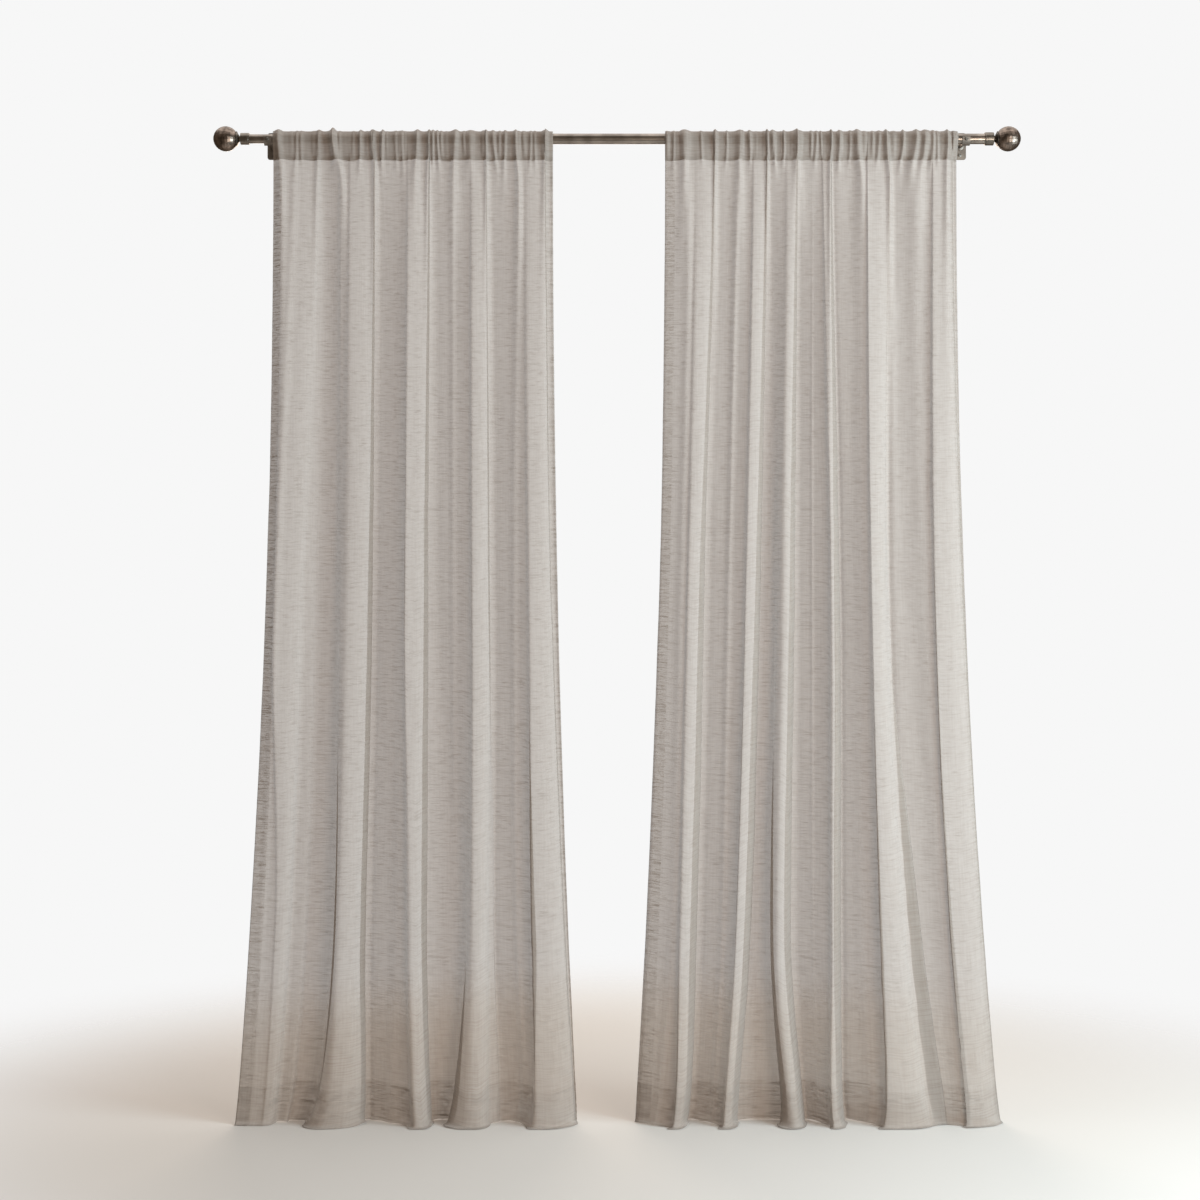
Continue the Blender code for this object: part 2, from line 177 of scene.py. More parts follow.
RIGHT_FOLDS = [
    Fold(
        edge=(0.170, 0.149, 0.151, 0.156),
        band=(0.30, 0.36, 0.34, 0.30),
        swell=(0.9, 0.9, 1.0, 1.1),
        lift=(0.30, 0.30, 0.34, 0.40),
        steep=(0.28, 0.28, 0.30, 0.34),
    ),
    Fold(
        edge=(0.350, 0.330, 0.311, 0.275),
        band=(0.25, 0.28, 0.30, 0.30),
        swell=(0.9, 0.9, 1.0, 1.0),
        lift=(0.45, 0.45, 0.45, 0.45),
    ),
    Fold(
        edge=(0.454, 0.443, 0.429, 0.466),
        band=(0.30, 0.34, 0.36, 0.16),
        swell=(0.8, 0.8, 0.9, 1.0),
        lift=(0.36, 0.42, 0.52, 0.76),
        steep=(0.22, 0.08, -0.05, -0.05),
    ),
    Fold(
        edge=(0.570, 0.590, 0.576, 0.567),
        band=(0.26, 0.22, 0.20, 0.36),
        swell=(0.9, 1.0, 1.0, 1.1),
        lift=(0.44, 0.48, 0.50, 0.40),
    ),
    Fold(
        edge=(0.770, 0.743, 0.771, 0.808),
        band=(0.40, 0.36, 0.44, 0.50),
        swell=(0.9, 1.1, 1.1, 1.1),
        lift=(0.34, 0.38, 0.36, 0.30),
        sink=(1.0, 0.8, 0.40, 0.25),
        tuck=(0.002, -0.004, -0.035, -0.045),
    ),
    Fold(
        edge=(0.985, 0.995, 0.998, 0.999),
        band=(0.32, 0.40, 0.46, 0.48),
        swell=(0.8, 0.7, 0.6, 0.5),
        lift=(0.42, 0.36, 0.34, 0.34),
        steep=(0.25, 0.25, 0.25, 0.25),
        sink=(0.7, 0.7, 0.7, 0.7),
    ),
]

# Shape of a fold's row from the valley before it to its own edge: how far each point has risen
# from the valley to the crest, then how far it has fallen from the crest to the next valley
UNDERCUT = 0.20  # the cloth comes forward a little where it leaves the edge before it
RISE_BEGINS = 0.10
RISE_ENDS = 0.72
RISE_TO_CREST = 0.93
FALLS = ((0.5, 0.10), (0.2, 0.32), (0.0, 0.64))  # (share of the band still to go, share fallen)
LAST_STEP = ((0.0, -0.002, 0.006), (0.5, 0.0, 0.011), (1.0, 0.0, 0.009))  # strip after the last edge

# A ridge is a narrow line that stands out of a fold all the way down:
# where it is at each level, how high it stands there, half its width
Ridge = namedtuple("Ridge", "share height half")
LEFT_RIDGES = [
    Ridge((0.239, 0.250, 0.265, 0.240), (0.003, 0.004, 0.004, 0.003), 0.005),
    Ridge((0.078, 0.040, 0.038, 0.046), (0.004, 0.004, 0.002, 0.001), 0.010),
    Ridge((0.480, 0.470, 0.460, 0.450), (0.004, 0.003, 0.003, 0.004), 0.014),
    Ridge((0.642, 0.640, 0.640, 0.640), (0.004, 0.003, 0.001, 0.000), 0.007),
    Ridge((0.880, 0.850, 0.838, 0.848), (0.004, 0.004, 0.004, 0.003), 0.008),
]
RIGHT_RIDGES = [
    Ridge((0.085, 0.070, 0.077, 0.060), (0.005, 0.004, 0.002, 0.003), 0.010),
    Ridge((0.246, 0.227, 0.225, 0.215), (0.006, 0.006, 0.004, 0.003), 0.007),
    Ridge((0.505, 0.500, 0.495, 0.500), (0.000, 0.0035, 0.0015, 0.000), 0.0025),
    Ridge((0.675, 0.660, 0.640, 0.650), (0.004, 0.003, 0.003, 0.004), 0.014),
    Ridge((0.853, 0.860, 0.880, 0.900), (0.005, 0.003, 0.003, 0.004), 0.018),
]

# A pinch is a narrow ridge gathered on the rod:
# where it is, as a share of the panel's width; height; half width; how far down it fades;
# how far its top leans to the right
LEFT_PINCHES = [
    (0.030, 0.0100, 0.0086, 0.45, -0.004),
    (0.078, 0.0040, 0.0040, 0.06, 0.003),
    (0.105, 0.0030, 0.0030, 0.02, -0.002),
    (0.158, 0.0100, 0.0057, 0.35, 0.002),
    (0.228, 0.0112, 0.0071, 0.05, -0.006),
    (0.250, 0.0112, 0.0071, 0.40, -0.012),
    (0.308, 0.0075, 0.0034, 0.04, 0.002),
    (0.364, 0.0112, 0.0057, 0.60, -0.002),
    (0.385, 0.0075, 0.0034, 0.03, 0.002),
    (0.440, 0.0040, 0.0040, 0.03, 0.000),
    (0.466, 0.0050, 0.0030, 0.05, -0.002),
    (0.507, 0.0100, 0.0071, 0.20, 0.003),
    (0.552, 0.0100, 0.0042, 0.40, 0.002),
    (0.568, 0.0075, 0.0034, 0.03, 0.002),
    (0.595, 0.0075, 0.0034, 0.04, -0.003),
    (0.645, 0.0112, 0.0071, 0.16, 0.001),
    (0.697, 0.0075, 0.0080, 0.05, 0.004),
    (0.762, 0.0112, 0.0042, 0.40, 0.000),
    (0.803, 0.0075, 0.0034, 0.03, -0.006),
    (0.824, 0.0075, 0.0034, 0.06, 0.002),
    (0.878, 0.0112, 0.0057, 0.30, -0.005),
    (0.915, 0.0040, 0.0030, 0.03, 0.002),
    (0.940, 0.0040, 0.0030, 0.03, -0.002),
    (0.970, 0.0100, 0.0057, 0.40, 0.001),
]

RIGHT_PINCHES = [
    (0.028, 0.0040, 0.0030, 0.04, 0.000),
    (0.064, 0.0112, 0.0086, 0.25, 0.002),
    (0.130, 0.0040, 0.0030, 0.02, -0.003),
    (0.170, 0.0100, 0.0042, 0.35, 0.001),
    (0.205, 0.0050, 0.0030, 0.02, 0.003),
    (0.256, 0.0100, 0.0071, 0.30, -0.002),
    (0.290, 0.0040, 0.0040, 0.03, 0.000),
    (0.350, 0.0112, 0.0042, 0.50, 0.000),
    (0.380, 0.0075, 0.0034, 0.03, -0.004),
    (0.400, 0.0050, 0.0030, 0.02, 0.003),
    (0.454, 0.0125, 0.0086, 0.14, -0.002),
    (0.510, 0.0040, 0.0040, 0.03, 0.002),
    (0.563, 0.0112, 0.0042, 0.60, 0.001),
    (0.594, 0.0075, 0.0034, 0.03, 0.000),
    (0.626, 0.0040, 0.0030, 0.02, 0.003),
    (0.672, 0.0125, 0.0086, 0.22, -0.006),
    (0.720, 0.0040, 0.0040, 0.03, 0.004),
    (0.770, 0.0125, 0.0057, 0.60, -0.006),
    (0.800, 0.0075, 0.0034, 0.03, 0.005),
    (0.838, 0.0125, 0.0086, 0.09, 0.007),
    (0.870, 0.0100, 0.0086, 0.18, 0.008),
    (0.905, 0.0075, 0.0046, 0.04, 0.004),
    (0.935, 0.0040, 0.0030, 0.02, -0.002),
    (0.962, 0.0100, 0.0057, 0.40, 0.001),
]

# How far the cloth swings to the right where it meets the floor: shares of the width, metres
LEFT_SWING = (
    (-0.1, 0.00, 0.12, 0.235, 0.38, 0.46, 0.56, 0.64, 0.74, 0.82, 0.90, 1.00, 1.1),
    (-0.004, -0.004, -0.006, -0.030, -0.004, 0.002, 0.004, -0.014, 0.000, -0.012, -0.004, -0.001, -0.001),
)
RIGHT_SWING = (
    (-0.1, 0.00, 0.10, 0.16, 0.28, 0.38, 0.47, 0.56, 0.68, 0.80, 0.90, 1.00, 1.1),
    (0.001, 0.001, -0.010, -0.012, 0.006, -0.018, 0.002, 0.010, -0.014, 0.006, -0.006, 0.006, 0.006),
)
SWING_HIGH = 0.06  # height at which the swing has fallen to about a third

RIDGE_FROM = -0.02  # metres down from the stitch line at which a ridge begins
RIDGE_WHOLE = 0.15  # and over how many metres it comes up to its height
LEAN_DEPTH = 0.04  # metres below the stitch line at which a pinch has stopped leaning
FADE_POWER = 1.3
SPREAD_OUT = 2.0  # how much wider a pinch is once it has faded

# how deep each panel's left edge is, as a share of VALLEY
LEFT_START = (0.3, 0.1, 0.0, 0.0)
RIGHT_START = (0.3, 0.35, 0.45, 0.5)

Panel = namedtuple("Panel", "side outer inner folds start ridges pinches swing seed")
PANELS = [
    Panel("left", 1, 6, LEFT_FOLDS, LEFT_START, LEFT_RIDGES, LEFT_PINCHES, LEFT_SWING, 3.0),
    Panel("right", 6, 1, RIGHT_FOLDS, RIGHT_START, RIGHT_RIDGES, RIGHT_PINCHES, RIGHT_SWING, 11.0),
]


# ---- curves ----
def smooth(levels, values, at):
    """Cubic curve through these values, without overshoot, read at each place in at."""
    levels, values = np.array(levels, float), np.array(values, float)
    step = np.diff(levels)
    slope = np.diff(values) / step
    tangent = np.concatenate([slope[:1], np.zeros(len(levels) - 2), slope[-1:]])
    for i in range(1, len(levels) - 1):
        if slope[i - 1] * slope[i] > 0:
            tangent[i] = 2 * slope[i - 1] * slope[i] / (slope[i - 1] + slope[i])
    k = np.clip(np.searchsorted(levels, at, side="right") - 1, 0, len(step) - 1)
    t = (at - levels[k]) / step[k]
    start = values[k] * (1 + 2 * t) * (1 - t) ** 2 + tangent[k] * step[k] * t * (1 - t) ** 2
    return start + values[k + 1] * t**2 * (3 - 2 * t) + tangent[k + 1] * step[k] * t**2 * (t - 1)


def rounded(points):
    """Smooth curves through rows of points, as an array of (sample, row, 2)."""
    points = np.array(points)
    points = np.concatenate([2 * points[:1] - points[1:2], points, 2 * points[-1:] - points[-2:-1]])
    t = np.linspace(0, 1, CURVE_STEPS, endpoint=False)[:, None, None]
    pieces = []
    for a, b, c, d in zip(points, points[1:], points[2:], points[3:]):
        ab, bc, cd = (
            np.maximum(np.sqrt(np.linalg.norm(q - p, axis=1)), 1e-4)[:, None]
            for p, q in ((a, b), (b, c), (c, d))
        )
        out = bc * ((b - a) / ab - (c - a) / (ab + bc) + (c - b) / bc)
        into = bc * ((c - b) / bc - (d - b) / (bc + cd) + (d - c) / cd)
        pieces.append(
            b
            + t * out
            + t**2 * (3 * (c - b) - 2 * out - into)
            + t**3 * (2 * (b - c) + out + into)
        )
    return np.concatenate(pieces + [points[-2][None]])


def spread(curve, count):
    """The same curves with count even steps along each, as (count + 1, row, 2)."""
    steps = np.linalg.norm(np.diff(curve, axis=0), axis=2)
    length = np.concatenate([np.zeros((1, curve.shape[1])), np.cumsum(steps, axis=0)])
    even = np.empty((count + 1, curve.shape[1], 2))
    for row in range(curve.shape[1]):
        want = np.linspace(0, length[-1, row], count + 1)
        for axis in range(2):
            even[:, row, axis] = np.interp(want, length[:, row], curve[:, row, axis])
    return even


# ---- cloth ----
def panel_edges(panel, drop):
    """Left and right edge of a panel at each share of the drop, as its CAD folds have them."""
    sides = []
    for number, pick in ((panel.outer, min), (panel.inner, max)):
        xs = [(v.co.z, v.co.x) for v in nodes[f"{panel.side}_pleat_{number}"].data.vertices]
        on_rod = pick(x for z, x in xs if z > ROD.z)
        on_floor = pick(x for z, x in xs if z < FLOOR_Z + BOTTOM_HEM)
        sides.append(on_rod + (on_floor - on_rod) * drop**2)
    return sides


def fold_curves(panel, drop):
    """Points of each row's curve, fold by fold, seen from above: x, and y from the rod's axis."""
    left, right = panel_edges(panel, drop)
    width = right - left
    crest = smooth(SWELL_LEVELS, CREST, drop)
    valley = smooth(SWELL_LEVELS, VALLEY, drop)

    def at(values):
        return smooth(LEVELS, values, drop)

    first = at(panel.start) * valley
    edge, sink, tuck = left, first, 0.0 * drop
    groups = []
    for fold in panel.folds:
        end = left + at(fold.edge) * width
        pitch = end - edge
        forward = -at(fold.swell) * crest
        next_sink = at(fold.sink) * valley
        facing = at(fold.band) * pitch
        start = edge + (at(fold.lift) - at(fold.steep)) * pitch
        risen = edge + (at(fold.lift) + at(fold.steep)) * pitch
        rise = forward - sink
        fall = next_sink - forward
        top = end - facing
        shape = [
            (edge - tuck, sink + UNDERCUT * rise),
            (0.6 * edge + 0.4 * start, sink),
            (start, sink + RISE_BEGINS * rise),
            (risen, sink + RISE_ENDS * rise),
            (0.5 * risen + 0.5 * top, sink + RISE_TO_CREST * rise),
            (top, forward),
        ]
        shape += [(end - left_over * facing, forward + fallen * fall) for left_over, fallen in FALLS]
        groups.append([np.stack([x, y], axis=1) for x, y in shape])
        edge, sink, tuck = end, next_sink, at(fold.tuck)
    groups[0][0] = np.stack([left, first], axis=1)
    last = groups[-1][-1][:, 1]
    groups.append(
        [
            np.stack([edge + share * (right - edge) + aside, last + back], axis=1)
            for share, aside, back in LAST_STEP
        ]
    )
    return groups


def bump(distance, half):
    return np.exp(-((distance / half) ** 2))


def ridge_lift(panel, x, down):
    """How far ridges and pinches lift the cloth, at x and at metres down from the stitch line."""
    drop = np.clip(down / DROP, 0, 1)
    left, right = panel_edges(panel, drop)
    lift = np.zeros_like(x)
    for ridge in panel.ridges:
        at = left + smooth(LEVELS, ridge.share, drop) * (right - left)
        begun = np.clip((down - RIDGE_FROM) / RIDGE_WHOLE, 0, 1)
        lift += begun * smooth(LEVELS, ridge.height, drop) * bump(x - at, ridge.half)
    for share, height, half, fade, lean in panel.pinches:
        left_over = np.exp(-((np.clip(down, 0, None) / fade) ** FADE_POWER))
        at = left + share * (right - left) + lean * (1 - np.tanh(down / LEAN_DEPTH))
        lift += height * left_over * bump(x - at, half * (1 + SPREAD_OUT * (1 - left_over)))
    return lift


def surface(panel):
    """Columns of the hanging cloth: (x, y) of each at each depth, and its place in the flat cloth."""
    drop = np.linspace(0, 1, DEPTHS) ** 1.2
    groups = fold_curves(panel, drop)
    curve = rounded([point for group in groups for point in group])
    starts = np.cumsum([0] + [len(group) * CURVE_STEPS for group in groups])
    starts[-1] = len(curve) - 1
    columns, places = [], [0.0]
    for begin, end in zip(starts, starts[1:]):
        piece = curve[begin : end + 1]
        mean = np.linalg.norm(np.diff(piece, axis=0), axis=2).sum(axis=0).mean()
        count = max(3, math.ceil(mean / COLUMN))
        columns.append(spread(piece, count)[:-1])
        places += list(places[-1] + np.arange(1, count + 1) * mean / count)
    columns.append(curve[-1:])
    grid = np.concatenate(columns)
    return drop, grid, np.array(places)


def read_columns(drop, grid, at):
    """x and y of every column at its own depth in at, which is (row, column)."""
    out = np.empty(at.shape + (2,))
    for column in range(grid.shape[0]):
        for axis in range(2):
            out[:, column, axis] = np.interp(at[:, column], drop, grid[column, :, axis])
    return out


def uneven(places, down, across_scale, down_scale, seed):
    """Smooth noise from -1 to 1 over the flat cloth, for each row and column."""
    return np.array(
        [
            [noise.noise(Vector((u * across_scale, v * down_scale, seed))) for u in places]
            for v in down
        ]
    )


def hanging_rows():
    """Heights above the hem's edge that have a row, from the stitch line down."""
    length = DROP + SPARE
    near = [0.0, 0.002, 0.004, 0.007, 0.010, 0.014, 0.018, 0.023, 0.029, 0.036, 0.045, 0.056]
    near += [0.069, 0.084, BOTTOM_HEM]
    top = [length - d for d in (0.075, 0.060, 0.047, 0.036, 0.027, 0.019, 0.012, 0.006, 0.0)]
    steps = round((top[0] - BOTTOM_HEM) / ROW)
    far = np.linspace(BOTTOM_HEM, top[0], steps + 1)[1:-1]
    return np.array(near + list(far) + top)[::-1]


def outline_normals(foot):
    """Directions out of the folds at the floor, seen from above, smoothed along the cloth."""
    along = np.gradient(foot, axis=0)
    kernel = np.hanning(2 * NORMAL_SPAN + 1)
    kernel /= kernel.sum()
    smoothed = [
        np.convolve(np.pad(a, NORMAL_SPAN, "edge"), kernel, "valid") for a in along.T
    ]
    along = np.stack(smoothed, axis=1)
    along /= np.linalg.norm(along, axis=1)[:, None]
    return np.stack([along[:, 1], -along[:, 0]], axis=1)


def hanging_cloth(panel, drop, grid, places):
    """Points from the pocket's stitch line to the hem's edge."""
    above = hanging_rows()[:, None]
    down = DROP + SPARE - above
    foot = grid[:, -1]
    out = outline_normals(foot)
    forward = np.clip((0.02 - foot[:, 1]) / 0.05, 0, 1) * np.clip(-out[:, 1], 0, 1)
    spill = 0.65 + 0.7 * uneven(places, [0.0], 9, 1, panel.seed + 2)[0]
    room = np.clip(foot[:, 1] + FRONT, 0.002, None)
    lies = BEND_R * 1.2 + np.minimum((SPARE - BEND_R) * forward * spill, room)
    height = BEND_R + (DROP - BEND_R) * (above - lies) / (DROP + SPARE - lies)
    depth = np.clip(1 - height / DROP, 0, 1)
    xy = read_columns(drop, grid, depth)
    past = np.clip(lies - above, 0, None)
    angle = np.minimum(past / BEND_R, math.pi / 2)
    reach = BEND_R * (1 - np.cos(angle)) + np.clip(past - BEND_R * math.pi / 2, 0, None)
    z = np.where(above > lies, height, BEND_R * (1 - np.sin(angle)))
    y = xy[..., 1] - ridge_lift(panel, xy[..., 0], np.broadcast_to(down, depth.shape))
    sag = seam_sag(places, panel.seed) * np.exp(-down / 0.04)
    flutter = uneven(places, np.ravel(down), 30, 12, panel.seed + 4) * np.exp(-above / 0.02)
    left, right = (edge[-1] for edge in panel_edges(panel, drop))
    swing = smooth(*panel.swing, np.clip((foot[:, 0] - left) / (right - left), -0.1, 1.1))
    aside = FLUTTER_ASIDE * flutter + swing * np.exp(-above / SWING_HIGH)
    points = np.stack(
        [
            xy[..., 0] + reach * out[:, 0] + aside,
            ROD.y + y + reach * out[:, 1],
            FLOOR_Z + LIFT + z - sag + FLUTTER_UP * np.abs(flutter),
        ],
        axis=2,
    )
    points[..., 1] = np.maximum(points[..., 1], ROD.y - FRONT - FRONT_SPARE)
    return points


def seam_sag(places, seed):
    """How far the pocket's stitch line hangs down."""
    return SEAM_SAG[0] + SEAM_SAG[1] * uneven(places, [0.0], 22, 1, seed + 8)[0]


def pocket_cloth(panel, stitch, places):
    """Points of the pocket, from its turned-in edge behind the stitch line, up the back, over
    the rod and down the front to just above the stitch line, and their distance above it."""
    x = stitch[:, 0]
    at_seam = ridge_lift(panel, x, 0 * x)
    base = ROD.y - stitch[:, 1] - at_seam
    near = ROD_R + SLACK
    sag = seam_sag(places, panel.seed)
    gathers = uneven(places, [0.0], 64, 1, panel.seed + 6)[0]
    slant = uneven(places, [0.0], 26, 1, panel.seed + 9)[0]
    around = POCKET + math.pi * near
    rows, lengths = [], []

    def lift(s):
        small = SMALL_GATHER * np.clip(gathers, 0, 1) * min(1.0, s / 0.02)
        return ridge_lift(panel, x + SMALL_ASIDE * gathers, -s + 0 * x) + small

    def add(y, z, length):
        leans = SLANT * slant * np.clip(1 + z / POCKET, 0, 1)
        rows.append(np.stack([x + leans, y, z - sag * np.exp((-POCKET - z) / 0.02)], axis=1))
        lengths.append(length)

    for t in (0.2, 0.1, 0.0):
        add(-base - at_seam + LAYER, -POCKET * (1 - t) + 0 * x, around + POCKET * (1 + 0.3 - t))
    for t in (0.02, 0.12, 0.3, 0.5, 0.7, 0.87):
        ease = math.sin(t * math.pi / 2)
        back = near + 0.3 * lift(around)
        y = (1 - ease) * (-base - at_seam + 2 * LAYER) + ease * back
        add(y, -POCKET * (1 - t) + 0 * x, around + POCKET * (1 - t))
    for degrees in range(0, 181, 15):
        a = math.radians(degrees)
        s = POCKET + near * (math.pi - a)
        facing_up = math.sin(a) ** 2
        radius = near + (1 - 0.6 * facing_up) * (0.3 + 0.7 * math.sin(a / 2) ** 4) * lift(s)
        add(radius * math.cos(a), radius * math.sin(a) + facing_up * (RISE + 0.2 * lift(s)), s)
    for t in (0.13, 0.27, 0.4, 0.53, 0.66, 0.78, 0.9):
        ease = math.cos(t * math.pi / 2)
        s = POCKET * (1 - t)
        add(-base * (1 - ease) - near * ease - lift(s), -POCKET * t + 0 * x, s)
    points = np.array(rows) + [0, ROD.y, ROD.z]
    return points, np.array(lengths)


def outward(points):
    """Unit normals on the cloth's outer side."""
    across = np.gradient(points, axis=1)
    down = np.gradient(points, axis=0)
    normal = np.cross(down, across)
    return normal / np.maximum(np.linalg.norm(normal, axis=2), 1e-9)[..., None]


def add_wrinkles(points, places, down, seed):
    """Small unevenness of the hanging cloth."""
    grow = np.clip(0.35 + down / 1.2, 0, 1)[:, None]
    long = uneven(places, down, 16, 1.6, seed)
    short = uneven(places, down, 38, 7, seed + 5)
    off_floor = np.clip((points[..., 2] - FLOOR_Z) / 0.04 - 0.1, 0, 1)
    lift = grow * off_floor * (WRINKLE_LONG * long + WRINKLE_SHORT * short)
    return points + outward(points) * lift[..., None]


def add_hems(points, places, down):
    """The bottom hem turned up behind the cloth, then the side hems turned in behind it."""
    normal = outward(points)
    turned = [i for i in range(len(down) - 2, -1, -1) if down[-1] - down[i] <= BOTTOM_HEM + 1e-6]
    back = points[turned] - LAYER * normal[turned]
    back[..., 2] = np.maximum(back[..., 2], FLOOR_Z + LIFT - LAYER)
    points = np.concatenate([points, back])
    normal = np.concatenate([normal, normal[turned]])
    down = np.concatenate([down, 2 * down[-1] - down[turned]])
    left = [i for i in range(len(places) - 1, 0, -1) if places[i] <= SIDE_HEM]
    right = [
        i for i in range(len(places) - 2, -1, -1) if places[-1] - places[i] <= SIDE_HEM
    ]
    pieces = [
        points[:, left] - 1.2 * LAYER * normal[:, left],
        points,
        points[:, right] - 1.2 * LAYER * normal[:, right],
    ]
    across = np.concatenate([-places[left], places, 2 * places[-1] - places[right]])
    return np.concatenate(pieces, axis=1), across, down


def grid_mesh(name, points, across, down, width):
    """One sheet of quads, with its place in the flat cloth, in metres, as a UV map."""
    rows, columns = points.shape[:2]
    index = np.arange(rows * columns).reshape(rows, columns)
    faces = np.stack(
        [index[:-1, :-1], index[1:, :-1], index[1:, 1:], index[:-1, 1:]], axis=2
    ).reshape(-1, 4)
    mesh = bpy.data.meshes.new(name)
    mesh.from_pydata(points.reshape(-1, 3).tolist(), [], faces.tolist())
    mesh.update()
    u, v = np.meshgrid(across, down)
    flat = np.stack([u, v], axis=2).reshape(-1, 2)
    layer = mesh.uv_layers.new(name="cloth")
    layer.data.foreach_set("uv", flat[faces.ravel()].astype(np.float32).ravel())
    middle = flat[faces].mean(axis=1)
    turned = (middle[:, 0] < 0) | (middle[:, 0] > width) | (middle[:, 1] > DROP + SPARE)
    mesh.polygons.foreach_set("material_index", turned.astype(np.int32))
    mesh.shade_smooth()
    obj = bpy.data.objects.new(name, mesh)
    bpy.context.scene.collection.objects.link(obj)
    return obj


def curtain(panel, cloth, hem):
    drop, grid, places = surface(panel)
    hanging = hanging_cloth(panel, drop, grid, places)
    below = DROP + SPARE - hanging_rows()
    hanging = add_wrinkles(hanging, places, below, panel.seed)
    pocket, above = pocket_cloth(panel, hanging[0], places)
    points = np.concatenate([pocket, hanging])
    points, across, down = add_hems(points, places, np.concatenate([-above, below]))
    obj = grid_mesh(panel.side + "_curtain", points, across, down, places[-1])
    obj.data.materials.append(cloth)
    obj.data.materials.append(hem)
    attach(obj, panel.side + "_panel")
    gather_up(obj, panel)
    return obj


def gather_up(obj, panel):
    """Works out the panel's edges on the rod, which are then not used, and gives the cloth its own copy of
    its mesh.
    """
    left, right = (float(edge[0]) for edge in panel_edges(panel, np.zeros(1)))
    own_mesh(obj)


# ---- materials ----
CLOTH_DARK = (0.47, 0.41, 0.37)
CLOTH_LIGHT = (0.60, 0.555, 0.52)
SLUB = (0.30, 0.25, 0.22)
SLUB_STOPS = [(0.54, (0, 0, 0)), (0.72, (1, 1, 1))]
COVER = 0.76  # share of the cloth between slubs that is thread
HEM_COVER = 0.12  # the same for a hem's inner layer, whose threads lie behind those of the outer
SLUB_COVER = 0.86  # the same where there is a slub
SLUB_SHADE = 0.38  # how far a slub takes its own colour
THROUGH = 0.20  # share of the light on a thread that comes out behind it
BLOTCH = 0.35  # how far the cloth's slow unevenness takes it to CLOTH_DARK


def new_material(name):
    mat = bpy.data.materials.new(name)
    mat.use_nodes = True
    tree = mat.node_tree
    tree.nodes.clear()
    return mat, tree


def node(tree, kind, inputs=None, **settings):
    made = tree.nodes.new(kind)
    for key, value in settings.items():
        setattr(made, key, value)
    for key, value in (inputs or {}).items():
        if isinstance(value, bpy.types.NodeSocket):
            tree.links.new(value, made.inputs[key])
        else:
            made.inputs[key].default_value = value
    return made


def ramp(tree, fac, stops):
    made = node(tree, "ShaderNodeValToRGB", {"Fac": fac})
    elements = made.color_ramp.elements
    while len(elements) < len(stops):
        elements.new(0.5)
    for element, (at, colour) in zip(elements, stops):
        element.position = at
        element.color = (*colour, 1.0)
    return made.outputs["Color"]


def stretched_noise(tree, where, scale, detail=2.0, rough=0.5):
    placed = node(tree, "ShaderNodeMapping", {"Vector": where, "Scale": scale})
    made = node(
        tree,
        "ShaderNodeTexNoise",
        {"Vector": placed.outputs["Vector"], "Scale": 1.0, "Detail": detail, "Roughness": rough},
    )
    return made.outputs["Fac"]


def maths(tree, operation, a, b):
    return node(tree, "ShaderNodeMath", {0: a, 1: b}, operation=operation).outputs["Value"]


def mix_colour(tree, share, a, b):
    made = node(tree, "ShaderNodeMix", {"Factor": share, 6: a, 7: b}, data_type="RGBA")
    return made.outputs[2]


def cloth_material(name, thread_share):
    mat, tree = new_material(name)
    where = node(tree, "ShaderNodeUVMap", uv_map="cloth").outputs["UV"]
    long_slub = stretched_noise(tree, where, (15, 300, 1), 1.0)
    short_slub = stretched_noise(tree, where, (40, 340, 1), 1.0)
    warp = stretched_noise(tree, where, (260, 12, 1), 1.0)
    blotch = stretched_noise(tree, where, (4, 4, 1), 2.0)
    streak = ramp(tree, maths(tree, "MAXIMUM", long_slub, short_slub), SLUB_STOPS)
    thread = maths(tree, "ADD", maths(tree, "MULTIPLY", warp, 0.3), maths(tree, "MULTIPLY", long_slub, 0.7))
    ground = ramp(tree, thread, [(0.36, CLOTH_DARK), (0.64, CLOTH_LIGHT)])
    aged = mix_colour(tree, maths(tree, "MULTIPLY", blotch, BLOTCH), ground, (*CLOTH_DARK, 1))
    colour = mix_colour(tree, maths(tree, "MULTIPLY", streak, SLUB_SHADE), aged, (*SLUB, 1))
    height = maths(tree, "ADD", streak, maths(tree, "MULTIPLY", warp, 0.2))
    relief = node(tree, "ShaderNodeBump", {"Height": height, "Strength": 0.1, "Distance": 0.0006})
    rough = node(tree, "ShaderNodeMapRange", {"Value": thread, 3: 0.78, 4: 0.92}).outputs["Result"]
    surface_look = node(
        tree,
        "ShaderNodeBsdfPrincipled",
        {
            "Base Color": colour,
            "Roughness": rough,
            "Normal": relief.outputs["Normal"],
            "Sheen Weight": 0.25,
            "Sheen Roughness": 0.4,
            "Specular IOR Level": 0.2,
        },
    )
    through = node(tree, "ShaderNodeBsdfTranslucent", {"Color": colour})
    body = node(
        tree, "ShaderNodeMixShader", {0: THROUGH, 1: surface_look.outputs[0], 2: through.outputs[0]}
    )
    cover = node(tree, "ShaderNodeMapRange", {"Value": streak, 3: thread_share, 4: SLUB_COVER})
    cover = cover.outputs["Result"]
    clear = node(tree, "ShaderNodeBsdfTransparent")
    mixed = node(tree, "ShaderNodeMixShader", {0: cover, 1: clear.outputs[0], 2: body.outputs[0]})
    node(tree, "ShaderNodeOutputMaterial", {"Surface": mixed.outputs[0]})
    return mat


